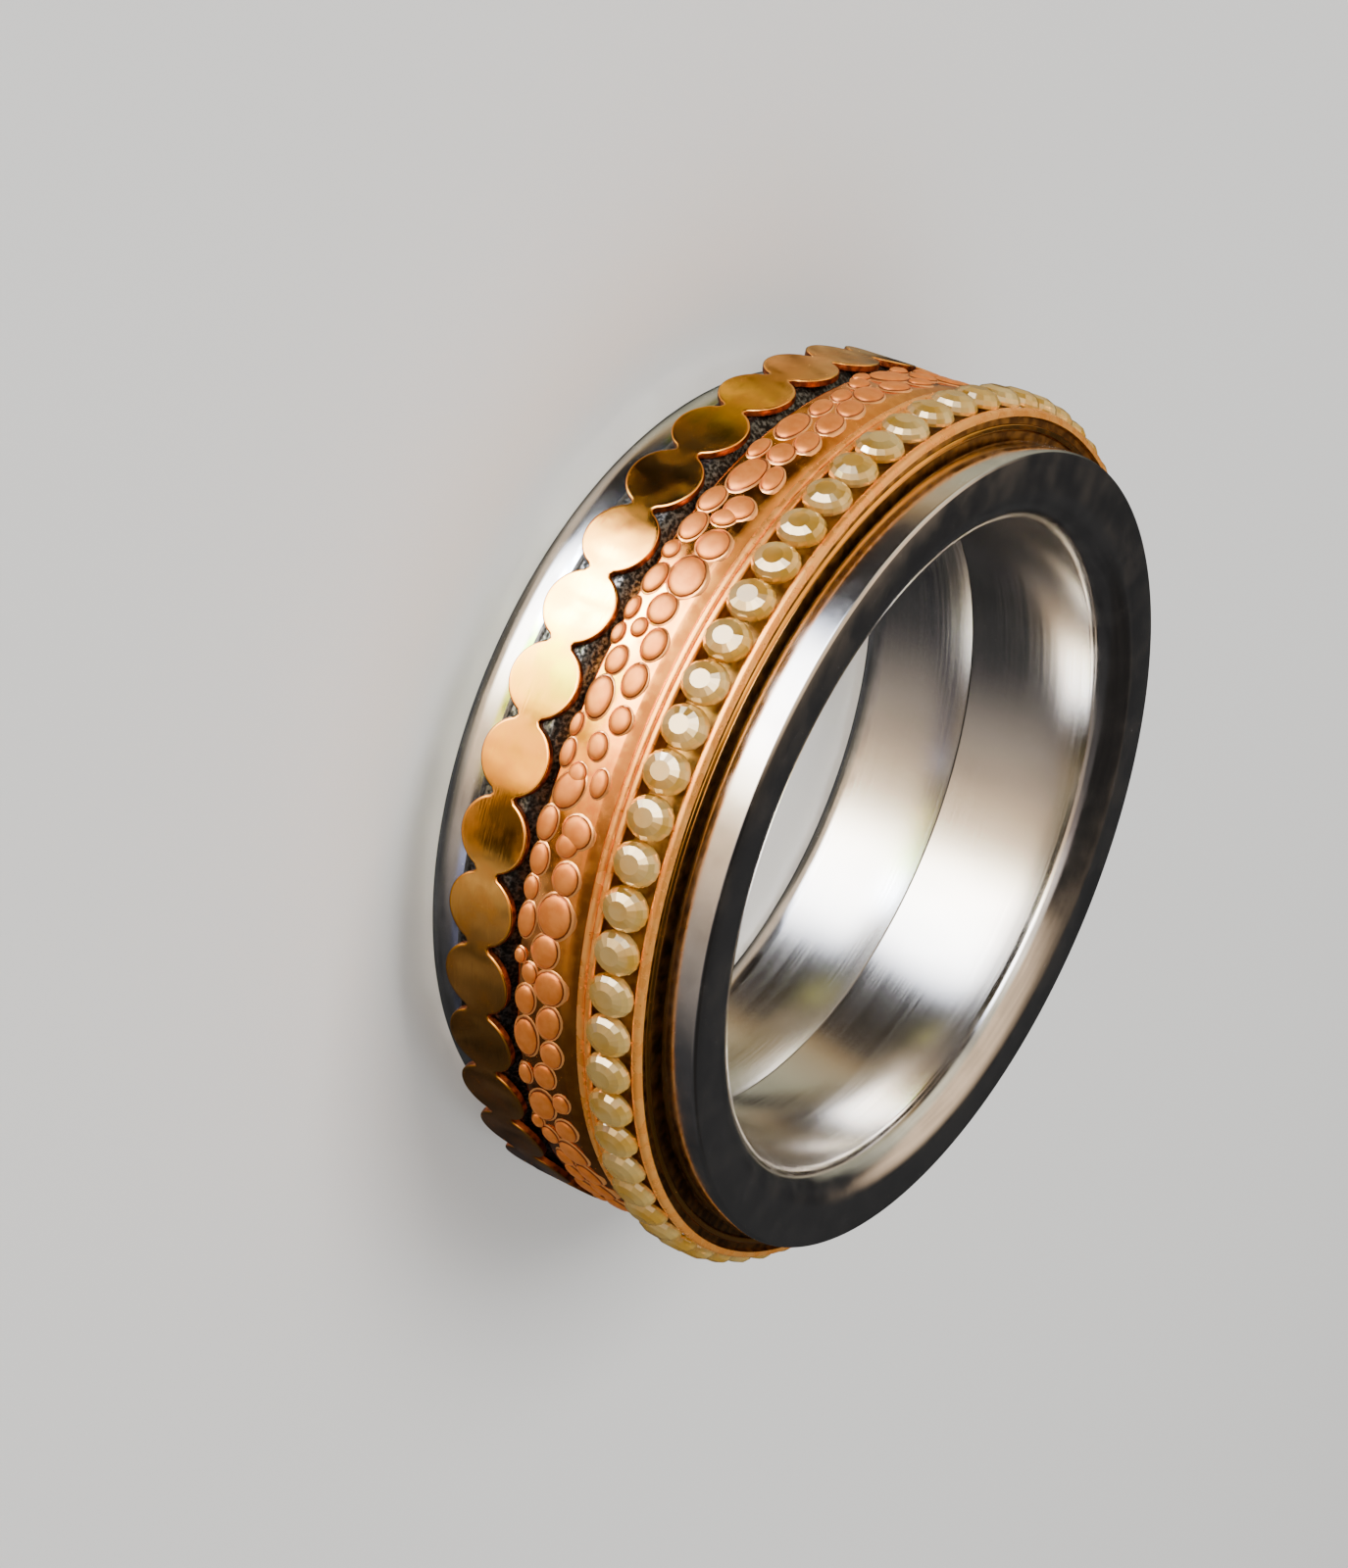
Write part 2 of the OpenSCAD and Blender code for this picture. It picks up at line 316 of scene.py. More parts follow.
# %% A strip of cards for the coins
STRIP_BRIGHTEST = 60
STRIP = [
    (-180, "#ffe6c0", 0.5),
    (-172, "#fff0b0", 0.22),
    (-164, "#f4f088", 0.6),
    (-158, "#f0e878", 0.5),
    (-153, "#c8e840", 0.16),
    (-149, "#c8d4ff", 0.045),
    (-143, "#c8d4ff", 0.14),
    (-137, "#c8d4ff", 0.02),
    (-130, "#d0d8ff", 0.02),
    (-124, "#d8dcff", 0.14),
    (-121, "#fff4e8", 4.0),
    (-115, "#d8e8ff", 40.0),
    (-104, "#e0ecff", 50.0),
    (-100, "#d8ff90", 22.0),
    (-95, "#b8ff50", 13.0),
    (-91, "#e0ff48", 7.0),
    (-86, "#fff050", 3.4),
    (-74, "#ffe468", 2.2),
    (-71, "#f0d8b0", 0.12),
    (-60, "#d8d8e8", 0.08),
    (-56, "#d0d8ff", 1.1),
    (-50, "#d0d4ff", 0.42),
    (-43, "#d0d4ff", 0.24),
    (-30, "#d0d4ff", 0.14),
    (-20, "#d0d8ff", 0.07),
    (20, "#d8dcf0", 0.045),
    (120, "#f0e8e0", 0.06),
    (160, "#ffe9b0", 0.4),
]
bpy.ops.mesh.primitive_cylinder_add(
    vertices=120, radius=20 * MM, depth=3.1 * MM, end_fill_type="NOTHING",
    location=(0, 0, -5.4 * MM), rotation=(math.radians(-9), 0, 0),
)
strip = bpy.context.object
strip.name = "strip of cards"
bpy.ops.object.transform_apply()
cards, tree = new_material("cards")
place = add(tree, "ShaderNodeTexCoord").outputs["Object"]
split = add(tree, "ShaderNodeSeparateXYZ", {"Vector": place})
torn = add(tree, "ShaderNodeTexNoise", {"Vector": place, "Scale": 0.9 / MM, "Detail": 5.0})
strength = add(tree, "ShaderNodeMapRange", {
    "Value": torn, "From Min": 0.38, "From Max": 0.62,
    "To Min": 0.35 * STRIP_BRIGHTEST, "To Max": 1.65 * STRIP_BRIGHTEST,
}, interpolation_type="SMOOTHSTEP")
paint = band(tree, direction_round(tree, split, torn, 0.05), STRIP, STRIP_BRIGHTEST)
show(tree, add(tree, "ShaderNodeEmission", {"Color": paint, "Strength": strength}))
cards.cycles.emission_sampling = "NONE"
strip.data.materials.append(cards)
for ray in ("camera", "diffuse", "transmission", "shadow"):
    setattr(strip, "visible_" + ray, False)
print("strip of cards with", len(STRIP), "stops")

# %% [markdown]
# ## Hands-on helpers
# A turned part starts as a flat cross-section. It is drawn corner by corner with the extrude operator,
# some corners are rounded with a vertex bevel, and the outline is spun round Z. Faces and points are picked
# in code by their place, as one would click them.

# %% Hands-on helpers


def alone():
    """Leaves edit mode and deselects everything, so that the next operator acts on the new piece only."""
    if bpy.context.object and bpy.context.object.mode == "EDIT":
        bpy.ops.object.mode_set(mode="OBJECT")
    bpy.ops.object.select_all(action="DESELECT")


def pick(kind, test):
    """Selects, in edit mode, every VERT, EDGE or FACE whose centre in millimetres passes a test."""
    bpy.ops.mesh.select_all(action="DESELECT")
    bpy.ops.mesh.select_mode(type=kind)
    mesh = bmesh.from_edit_mesh(bpy.context.object.data)
    items = {"VERT": mesh.verts, "EDGE": mesh.edges, "FACE": mesh.faces}[kind]
    for item in items:
        points = [item.co] if kind == "VERT" else [corner.co for corner in item.verts]
        if test(sum(points, Vector()) / len(points) / MM):
            item.select_set(True)
    bmesh.update_edit_mesh(bpy.context.object.data)


def turn(name, corners, steps=240):
    """Draws a closed section in the XZ plane and spins it. A corner is (radius, height, rounding) in mm.

    A fourth number widens that rounding across the finger, to an oval.
    """
    alone()
    bpy.ops.mesh.primitive_plane_add(size=MM)
    piece = bpy.context.object
    piece.name = name
    bpy.ops.object.mode_set(mode="EDIT")
    bpy.ops.mesh.select_mode(type="VERT")
    bpy.ops.mesh.merge(type="CENTER")
    bpy.ops.transform.translate(value=(corners[0][0] * MM, 0, corners[0][1] * MM))
    for start, end in zip(corners, corners[1:] + corners[:1]):
        step = ((end[0] - start[0]) * MM, 0, (end[1] - start[1]) * MM)
        bpy.ops.mesh.extrude_region_move(TRANSFORM_OT_translate={"value": step})
    bpy.ops.mesh.select_all(action="SELECT")
    bpy.ops.mesh.remove_doubles(threshold=0.001 * MM)
    bpy.ops.mesh.edge_face_add()
    for radius in sorted({corner[2] for corner in corners if len(corner) > 2}):
        spots = [Vector((corner[0], 0, corner[1])) for corner in corners if corner[2:3] == (radius,)]
        pick("VERT", lambda place: any((place - spot).length < 0.001 for spot in spots))
        segments = 3 if radius < 0.07 else 6 if radius < 0.15 else 16
        bpy.ops.mesh.bevel(offset=radius * MM, segments=segments, affect="VERTICES", clamp_overlap=False)
    for across, along, radius, widening in [corner for corner in corners if len(corner) == 4]:
        pick("VERT", lambda place: max(abs(place.x - across), abs(place.z - along)) < radius + 0.001)
        bpy.ops.transform.resize(value=(widening, 1, 1), center_override=(across * MM, 0, along * MM))
    bpy.ops.mesh.select_all(action="SELECT")
    bpy.ops.mesh.delete(type="ONLY_FACE")
    bpy.ops.mesh.select_all(action="SELECT")
    bpy.ops.mesh.spin(steps=steps, angle=2 * math.pi, center=(0, 0, 0), axis=(0, 0, 1))
    bpy.ops.mesh.select_all(action="SELECT")
    bpy.ops.mesh.remove_doubles(threshold=0.001 * MM)
    bpy.ops.mesh.normals_make_consistent(inside=False)
    bpy.ops.object.mode_set(mode="OBJECT")
    bpy.ops.object.shade_smooth_by_angle(angle=math.radians(30))
    print(name, len(piece.data.polygons), "faces,", [round(d / MM, 2) for d in piece.dimensions], "mm")
    return piece


# %% [markdown]
# ## Sizes that the pieces share
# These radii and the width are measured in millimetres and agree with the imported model.

# %% Sizes that the pieces share
BORE = 8.6
TUBE = 8.95
SOCKET = 9
SLEEVE = 9.7
LOOSE_HOLE = 9.75
FLANGE = 10.5
GROUND = 11.2
RING_WIDTH = 8.2
print("a flange of", round(FLANGE - BORE, 2), "mm round a bore of", round(2 * BORE, 2), "mm")

# %% [markdown]
# ## The base ring
# This is one turned piece of stainless steel: the fixed flange at the bottom, whose outer edge is rounded
# almost over its whole thickness, and the thin sleeve that the outer rings slip over. Its hole is the lower
# half of the bore, and its mouth is rounded for comfort.

# %% The base ring
base_ring = turn("base ring", [
    (BORE, 0, 0.92, 0.87),
    (FLANGE, 0, 0.95),
    (FLANGE, 1.45, 0.04),
    (SLEEVE, 1.45),
    (SLEEVE, 7.15),
    (SOCKET, 7.15),
    (SOCKET, 3.72),
    (BORE, 3.72, 0.02),
])

# %% [markdown]
# ## The end cap
# The cap screws into the sleeve. Its flat face looks at the viewer, its outer edge is only just broken, and
# its mouth is rounded like the other one. Where its tube ends, a hairline seam shows inside the hole.

# %% The end cap
end_cap = turn("end cap", [
    (BORE, 3.74, 0.02),
    (TUBE, 3.74),
    (TUBE, 7.2),
    (FLANGE, 7.2, 0.12),
    (FLANGE, RING_WIDTH, 0.1),
    (BORE, RING_WIDTH, 0.83, 1.145),
])

# %% [markdown]
# ## The carrier of the coins
# The coins lie on a dark band with a bevel along both edges. Only small triangles of it show in the
# notches between two coins.

# %% The carrier of the coins
coin_band = turn("coin band", [
    (LOOSE_HOLE, 1.5),
    (10.76, 1.5, 0.05),
    (11.16, 1.9, 0.05),
    (11.16, 3.1, 0.05),
    (10.76, 3.5, 0.05),
    (LOOSE_HOLE, 3.5),
])

# %% [markdown]
# ## The chain of coins
# A chain like this is stamped flat as a strip and then bent round. Blender can do the same: one coin is
# modelled flat with half a neck on each side, an array repeats it, and a bend closes the strip.
# The rim of each coin is rolled over by the stamping, so its front edge gets a small bevel.

# %% One coin, flat
COINS = 38
COIN_RADIUS = 11.35
COIN_THICKNESS = 0.17
pitch = 2 * math.pi * COIN_RADIUS / COINS

alone()
bpy.ops.mesh.primitive_circle_add(
    vertices=48, radius=0.93 * MM, fill_type="NGON", rotation=(math.pi / 2, 0, 0),
)
bpy.ops.object.transform_apply()
coins = bpy.context.object
coins.name = "coin chain"
bpy.ops.object.mode_set(mode="EDIT")
for side in (-1, 1):
    pick("VERT", lambda place: place.x * side > 0 and abs(place.z) < 0.27)
    bpy.ops.transform.resize(value=(0, 1, 1.25), center_override=(side * pitch / 2 * MM, 0, 0))
bpy.ops.mesh.select_all(action="SELECT")
bpy.ops.mesh.extrude_region_move(TRANSFORM_OT_translate={"value": (0, COIN_THICKNESS * MM, 0)})
pick("FACE", lambda place: abs(abs(place.x) - pitch / 2) < 0.001)
bpy.ops.mesh.delete(type="FACE")
pick("EDGE", lambda place: abs(place.y) < 0.001 and abs(abs(place.x) - pitch / 2) > 0.001)
bpy.ops.mesh.bevel(offset=0.05 * MM, segments=4, affect="EDGES")
pick("FACE", lambda place: place.y < 0.001 and abs(place.x) < 0.1 and abs(place.z) < 0.1)
bpy.ops.mesh.inset(thickness=0.03 * MM, use_boundary=False)
for cut in range(-5, 6):
    bpy.ops.mesh.select_all(action="SELECT")
    bpy.ops.mesh.bisect(plane_co=(cut * pitch / 12 * MM, 0, 0), plane_no=(1, 0, 0))
bpy.ops.mesh.select_all(action="SELECT")
bpy.ops.mesh.normals_make_consistent(inside=False)
bpy.ops.object.mode_set(mode="OBJECT")
print("one coin:", len(coins.data.polygons), "faces,", [round(d / MM, 2) for d in coins.dimensions], "mm")

# %% The strip of coins, bent to a ring
COIN_HEIGHT = 2.53
COIN_PHASE = 3.0

repeat = coins.modifiers.new("repeat", "ARRAY")
repeat.count = COINS
repeat.use_relative_offset = False
repeat.use_constant_offset = True
repeat.constant_offset_displace = (pitch * MM, 0, 0)
repeat.use_merge_vertices = True
repeat.merge_threshold = 0.001 * MM
bpy.ops.object.modifier_apply(modifier="repeat")
coins.location.x = -pitch * (COINS - 1) / 2 * MM
bpy.ops.object.transform_apply()
bend = coins.modifiers.new("bend", "SIMPLE_DEFORM")
bend.deform_method = "BEND"
bend.deform_axis = "Z"
bend.angle = 2 * math.pi
bpy.ops.object.modifier_apply(modifier="bend")
coins.location = (0, -COIN_RADIUS * MM, COIN_HEIGHT * MM)
bpy.ops.object.transform_apply()
coins.rotation_euler.z = math.radians(90 + COIN_PHASE + 180 / COINS)
bpy.ops.object.transform_apply()
bpy.ops.object.mode_set(mode="EDIT")
bpy.ops.mesh.select_all(action="SELECT")
bpy.ops.mesh.remove_doubles(threshold=0.001 * MM)
bpy.ops.mesh.normals_make_consistent(inside=False)
bpy.ops.object.mode_set(mode="OBJECT")
bpy.ops.object.shade_smooth_by_angle(angle=math.radians(40))
print("coin chain:", len(coins.data.polygons), "faces,", [round(d / MM, 2) for d in coins.dimensions], "mm")

# %% [markdown]
# ## The pebble ring
# This ring is one casting: a band with a bevel at its lower edge, a smooth margin that slopes inwards at its
# upper edge, and low pebbles that stand up from its ground. The band is turned like the others.

# %% The band of the pebble ring
pebble_band = turn("pebble band", [
    (LOOSE_HOLE, 3.55),
    (11.08, 3.55, 0.03),
    (GROUND, 3.67, 0.05),
    (GROUND, 4.96, 0.06),
    (11.04, 5.28, 0.02),
    (11.0, 5.3),
    (LOOSE_HOLE, 5.3),
])

# %% [markdown]
# ## Pebbles
# Each pebble is a low dome with steep sides, and a small fillet where it meets the ground, as casting leaves
# it. One is modelled as a potter would: a circle is pulled up and narrowed step by step. It is open below,
# where it is sunk into the band. Its copies are laid out in two rows, with their sizes and turns as
# irregular as on the real ring. The pattern fills a third of the ring and is used three times.

# %% One pebble
PEBBLE_RING_START = 3.55
PEBBLE_HEIGHT = 0.12
PROFILE = [
    (1.2, 0.0),
    (1.12, 0.05),
    (1.06, 0.15),
    (1.02, 0.32),
    (0.96, 0.5),
    (0.88, 0.66),
    (0.76, 0.8),
    (0.58, 0.91),
    (0.32, 0.98),
]

alone()
bpy.ops.mesh.primitive_circle_add(vertices=20, radius=1.3, fill_type="NOTHING", location=(0, 0, -0.5))
bpy.ops.object.transform_apply()
pebble = bpy.context.object
bpy.ops.object.mode_set(mode="EDIT")
bpy.ops.mesh.select_all(action="SELECT")
width = 1.3
height = -0.5
for next_width, next_height in PROFILE:
    bpy.ops.mesh.extrude_region_move(TRANSFORM_OT_translate={"value": (0, 0, next_height - height)})
    bpy.ops.transform.resize(value=(next_width / width, next_width / width, 1))
    width = next_width
    height = next_height
bpy.ops.mesh.extrude_region_move(TRANSFORM_OT_translate={"value": (0, 0, 1.01 - height)})
bpy.ops.mesh.merge(type="CENTER")
bpy.ops.mesh.select_all(action="SELECT")
bpy.ops.mesh.normals_make_consistent(inside=False)
bpy.ops.object.mode_set(mode="OBJECT")
bpy.ops.object.shade_smooth()
print("one pebble:", len(pebble.data.polygons), "faces")

# %% The layout of the pebbles
# Columns: angle round the ring, height above the ring's lower edge, length, width, turn of the length.
PEBBLES = [
    # upper row
    (-148.1, 0.99, 0.84, 0.66, 25),
    (-143.0, 1.13, 0.80, 0.56, 20),
    (-138.3, 1.17, 0.84, 0.56, 15),
    (-133.4, 1.18, 0.76, 0.52, 20),
    (-130.1, 0.91, 0.66, 0.56, 20),
    (-125.7, 1.25, 0.74, 0.44, 15),
    (-120.0, 1.09, 0.66, 0.62, 60),
    (-118.1, 0.93, 0.56, 0.46, -60),
    (-114.1, 1.12, 0.74, 0.70, 0),
    (-109.2, 1.01, 0.94, 0.80, 15),
    (-104.5, 0.89, 0.70, 0.62, 0),
    (-100.2, 1.15, 0.70, 0.54, 0),
    (-95.5, 1.11, 0.72, 0.54, 0),
    (-90.7, 1.19, 0.58, 0.50, 0),
    (-87.0, 0.89, 0.58, 0.46, 10),
    (-83.1, 1.25, 0.60, 0.40, 0),
    (-76.9, 1.07, 0.70, 0.66, 70),
    (-75.0, 0.91, 0.56, 0.48, -40),
    (-71.1, 1.07, 0.70, 0.62, -10),
    (-66.2, 0.97, 0.94, 0.82, -10),
    (-61.4, 0.83, 0.78, 0.64, -20),
    (-56.8, 1.03, 0.82, 0.72, -35),
    (-51.8, 1.03, 0.86, 0.58, -20),
    (-47.0, 1.07, 0.72, 0.54, -20),
    (-42.8, 0.79, 0.74, 0.54, -20),
    (-38.9, 1.15, 0.62, 0.42, -20),
    (-33.4, 1.07, 0.76, 0.56, -20),
    # lower row
    (-150.4, 0.43, 0.60, 0.42, 0),
    (-145.4, 0.57, 0.62, 0.42, 10),
    (-141.1, 0.55, 0.74, 0.44, 10),
    (-135.6, 0.49, 1.00, 0.60, 5),
    (-129.8, 0.32, 0.66, 0.38, 0),
    (-125.1, 0.63, 1.02, 0.66, -5),
    (-120.0, 0.33, 0.72, 0.50, -5),
    (-115.6, 0.37, 0.74, 0.52, 0),
    (-111.8, 0.25, 0.44, 0.38, 0),
    (-107.7, 0.31, 0.72, 0.46, -5),
    (-103.4, 0.19, 0.52, 0.30, 0),
    (-101.5, 0.59, 0.42, 0.36, 0),
    (-100.0, 0.17, 0.46, 0.28, 0),
    (-97.0, 0.45, 0.62, 0.46, -5),
    (-92.3, 0.45, 0.88, 0.58, 5),
    (-88.5, 0.17, 0.50, 0.28, 0),
    (-85.1, 0.21, 0.60, 0.34, 0),
    (-83.2, 0.63, 0.48, 0.42, 0),
    (-81.2, 0.55, 0.88, 0.62, -25),
    (-76.6, 0.25, 0.74, 0.46, -5),
    (-72.2, 0.27, 0.68, 0.44, 0),
    (-68.5, 0.21, 0.54, 0.36, 0),
    (-64.4, 0.23, 0.78, 0.42, -5),
    (-59.6, 0.15, 0.36, 0.26, 0),
    (-57.7, 0.45, 0.50, 0.38, 0),
    (-53.8, 0.35, 0.72, 0.50, -10),
    (-48.2, 0.35, 0.98, 0.60, -5),
    (-41.8, 0.19, 0.60, 0.34, -5),
    (-36.8, 0.51, 1.04, 0.66, -20),
    (-32.8, 0.19, 0.50, 0.32, -10),
]
print(len(PEBBLES), "pebbles in a third of the ring")

# %% Lay the pebbles on the band
# A copy lies with its length along the ring, its width along Z and its height outwards.
OUTWARDS = Matrix(((0, 0, 1, 0), (1, 0, 0, 0), (0, 1, 0, 0), (0, 0, 0, 1)))


def on_ring(angle, radius, height, turned=0):
    """The place on the ring at an angle, with Z of the copy pointing outwards."""
    round_z = Matrix.Rotation(math.radians(angle), 4, "Z")
    shift = Matrix.Translation(Vector((radius, 0, height)) * MM)
    return round_z @ shift @ OUTWARDS @ Matrix.Rotation(math.radians(turned), 4, "Z")


def copy_to(template, place, size):
    """Adds a copy of a piece, with its own mesh, at a place and a size in millimetres."""
    new = template.copy()
    new.data = template.data.copy()
    new.matrix_world = place @ Matrix.Diagonal((size[0] * MM, size[1] * MM, size[2] * MM, 1))
    bpy.context.scene.collection.objects.link(new)
    return new


def join(pieces, name):
    """Makes one piece of many, at the origin."""
    alone()
    for piece in pieces:
        piece.select_set(True)
    bpy.context.view_layer.objects.active = pieces[0]
    bpy.ops.object.join()
    bpy.ops.object.transform_apply()
    whole = bpy.context.object
    whole.name = name
    print(name, len(whole.data.polygons), "faces,", [round(d / MM, 2) for d in whole.dimensions], "mm")
    return whole


domes = []
for third in (0, 120, 240):
    for angle, height, length, across, turned in PEBBLES:
        place = on_ring(angle + third, GROUND, PEBBLE_RING_START + height, turned)
        domes.append(copy_to(pebble, place, (length * 0.53, across * 0.53, PEBBLE_HEIGHT)))
pebbles = join(domes, "pebbles")
bpy.data.objects.remove(pebble)

# %% [markdown]
# ## The channel of the stones
# The stones sit in a groove between two rails that look like rounded wires. The lower rail is a pair of
# wires with a fine groove between them, and the upper one is a single wire. A low ridge and a ledge run
# along the top, beside the end cap.

# %% The channel of the stones
stone_band = turn("stone channel", [
    (LOOSE_HOLE, 5.35),
    (11.04, 5.35, 0.02),
    (11.24, 5.36, 0.1),
    (11.24, 5.58, 0.1),
    (11.13, 5.585),
    (11.23, 5.59, 0.07),
    (11.23, 5.76, 0.07),
    (11.1, 5.78, 0.02),
    (10.73, 5.8),
    (10.73, 6.9),
    (11.1, 6.92, 0.02),
    (11.23, 6.92, 0.09),
    (11.23, 7.13, 0.09),
    (11.05, 7.15),
    (11.0, 7.06),
    (10.86, 7.08),
    (10.84, 7.14, 0.05),
    (10.7, 7.15, 0.05),
    (10.66, 7.08),
    (LOOSE_HOLE, 7.08),
])

# %% [markdown]
# ## The stones
# A round cut stone has a flat table on top, a crown of slanted facets down to its widest line, the girdle,
# and a pointed pavilion below. Only the crown and the table are made here, from a circle by extruding and
# scaling. The stone is open below its girdle, where the channel hides nearly all of it. The 66 copies are set
# in a row, just touching, and are a little wider across the band than along it.

# %% One cut stone
STONE_RADIUS = 0.53
CROWN_STEPS = [(0.08, 1.01), (0.11, 0.94), (0.11, 0.82), (0.08, 0.55)]

alone()
bpy.ops.mesh.primitive_circle_add(vertices=16, radius=STONE_RADIUS * MM, fill_type="NOTHING")
stone = bpy.context.object
bpy.ops.object.mode_set(mode="EDIT")
bpy.ops.mesh.select_all(action="SELECT")
for rise, narrowing in CROWN_STEPS:
    bpy.ops.mesh.extrude_region_move(TRANSFORM_OT_translate={"value": (0, 0, rise * MM)})
    bpy.ops.transform.resize(value=(narrowing, narrowing, 1))
bpy.ops.mesh.edge_face_add()
bpy.ops.mesh.select_all(action="SELECT")
bpy.ops.mesh.normals_make_consistent(inside=False)
bpy.ops.object.mode_set(mode="OBJECT")
print("one stone:", len(stone.data.polygons), "faces")

# %% The row of stones
STONES = 66
GIRDLE = 11.2
STONE_HEIGHT = 6.35
row = []
for i in range(STONES):
    place = on_ring(i * 360 / STONES, GIRDLE, STONE_HEIGHT)
    row.append(copy_to(stone, place, (1 / MM, 1.12 / MM, 1 / MM)))
stones = join(row, "row of stones")
bpy.data.objects.remove(stone)

# %% [markdown]
# ## Polished stainless steel
# Flanges like these are tumbled and buffed: bright, with a faint haze, hair-fine scratches that run all
# ways, and a speck of dust here and there. The scratches are thin sheets of noise, turned two ways, that cut
# the surface in lines. From here on, a pattern's scale is the number of its grains in a millimetre.

# %% Scratches and dust


def scratches(tree, place, turn_to, length, width):
    """Thin lines, with their length and width in millimetres. Gives back a height."""
    stretched = add(tree, "ShaderNodeMapping", {
        "Vector": place,
        "Rotation": [math.radians(angle) for angle in turn_to],
        "Scale": (1 / (length * MM), 1 / (length * MM), 1 / (width * MM)),
    })
    return add(tree, "ShaderNodeTexNoise", {"Vector": stretched, "Scale": 1.0, "Detail": 2.0})


def specks(tree, place, spacing, size):
    """A mask of small round specks, with their spacing and size in millimetres."""
    cells = add(tree, "ShaderNodeTexVoronoi", {"Vector": place, "Scale": 1 / (spacing * MM)})
    near = add(tree, "ShaderNodeMapRange", {
        "Value": cells.outputs["Distance"], "From Min": size / spacing, "From Max": size / spacing * 0.6,
    }, interpolation_type="SMOOTHSTEP")
    chosen = add(tree, "ShaderNodeSeparateColor", {"Color": cells.outputs["Color"]})
    few = add(tree, "ShaderNodeMath", {0: chosen, 1: 0.72}, operation="GREATER_THAN")
    return add(tree, "ShaderNodeMath", {0: near, 1: few}, operation="MULTIPLY")


print("scratches and specks are ready to use")

# %% Polished stainless steel
polished_steel, tree = new_material("polished stainless steel")
place = add(tree, "ShaderNodeTexCoord").outputs["Object"]
haze = add(tree, "ShaderNodeTexNoise", {"Vector": place, "Scale": 0.9 / MM, "Detail": 4.0})
dust = specks(tree, place, 0.9, 0.025)
clean = blend(tree, haze, 0.35, 0.65, "#c6c1bd", "#d2cdc9")
colour = add(tree, "ShaderNodeMix", {
    "Factor": dust, 6: clean, 7: linear("#f4f2ee"),
}, data_type="RGBA").outputs[2]
metal = add(tree, "ShaderNodeMath", {0: 1.0, 1: dust}, operation="SUBTRACT")
gloss = add(tree, "ShaderNodeMapRange", {
    "Value": haze, "From Min": 0.3, "From Max": 0.7, "To Min": 0.09, "To Max": 0.2,
}, interpolation_type="SMOOTHSTEP")
first = scratches(tree, place, (35, 20, 0), 1.5, 0.02)
second = scratches(tree, place, (-50, 40, 15), 1.2, 0.025)
lines = add(tree, "ShaderNodeMath", {0: first, 1: second}, operation="ADD")
bump = add(tree, "ShaderNodeBump", {"Height": lines, "Strength": 0.25, "Distance": 0.001 * MM})
show(tree, add(tree, "ShaderNodeBsdfPrincipled", {
    "Base Color": colour, "Metallic": metal, "Roughness": gloss, "Normal": bump,
}))
for piece in (base_ring, end_cap):
    piece.data.materials.append(polished_steel)
print("polished steel on", base_ring.name, "and", end_cap.name)

# %% [markdown]
# ## The finish of the hole
# The hole is reamed and then lapped, so it mirrors softly, with fine lines round the finger, drawn coarser
# than real ones so that they show. The cap's half is a little smoother than the base's half. Both finishes
# come from one recipe.

# %% The finish of the hole
BORE_START = 0.93
BORE_END = 7.36


def reamed_steel(name, piece, smoothest, roughest):
    """Dresses the straight part of a hole with fine lines round the finger."""
    finish, tree = new_material(name)
    place = add(tree, "ShaderNodeTexCoord").outputs["Object"]
    along = add(tree, "ShaderNodeMapping", {"Vector": place, "Scale": (0.12 / MM, 0.12 / MM, 14 / MM)})
    lines = add(tree, "ShaderNodeTexNoise", {"Vector": along, "Scale": 1.0, "Detail": 3.0})
    gloss = add(tree, "ShaderNodeMapRange", {
        "Value": lines, "From Min": 0.3, "From Max": 0.7, "To Min": smoothest, "To Max": roughest,
    }, interpolation_type="SMOOTHSTEP")
    bump = add(tree, "ShaderNodeBump", {"Height": lines, "Strength": 0.06, "Distance": 0.001 * MM})
    show(tree, add(tree, "ShaderNodeBsdfPrincipled", {
        "Base Color": linear("#cdc8c2"), "Metallic": 1.0, "Roughness": gloss, "Normal": bump,
    }))
    piece.data.materials.append(finish)
    count = 0
    for face in piece.data.polygons:
        straight = BORE_START < face.center.z / MM < BORE_END
        if straight and math.hypot(face.center.x, face.center.y) < (BORE + 0.01) * MM:
            face.material_index = 1
            count += 1
    print(name, "on", count, "faces")


reamed_steel("reamed steel of the base", base_ring, 0.17, 0.23)
reamed_steel("lapped steel of the cap", end_cap, 0.15, 0.2)

# %% [markdown]
# ## Blackened steel
# The carrier of the coins is blackened, and years of grit sit in its corners: dark, coarse and half matt.

# %% Blackened steel
dark_steel, tree = new_material("blackened steel")
place = add(tree, "ShaderNodeTexCoord").outputs["Object"]
grit = add(tree, "ShaderNodeTexNoise", {"Vector": place, "Scale": 11 / MM, "Detail": 4.0})
colour = blend(tree, grit, 0.4, 0.7, "#1e1d1c", "#6a6764")
gloss = add(tree, "ShaderNodeMapRange", {
    "Value": grit, "From Min": 0.35, "From Max": 0.65, "To Min": 0.5, "To Max": 0.3,
}, interpolation_type="SMOOTHSTEP")
bump = add(tree, "ShaderNodeBump", {"Height": grit, "Strength": 0.7, "Distance": 0.02 * MM})
show(tree, add(tree, "ShaderNodeBsdfPrincipled", {
    "Base Color": colour, "Metallic": 1.0, "Roughness": gloss, "Normal": bump,
}))
coin_band.data.materials.append(dark_steel)
print("blackened steel on", coin_band.name)
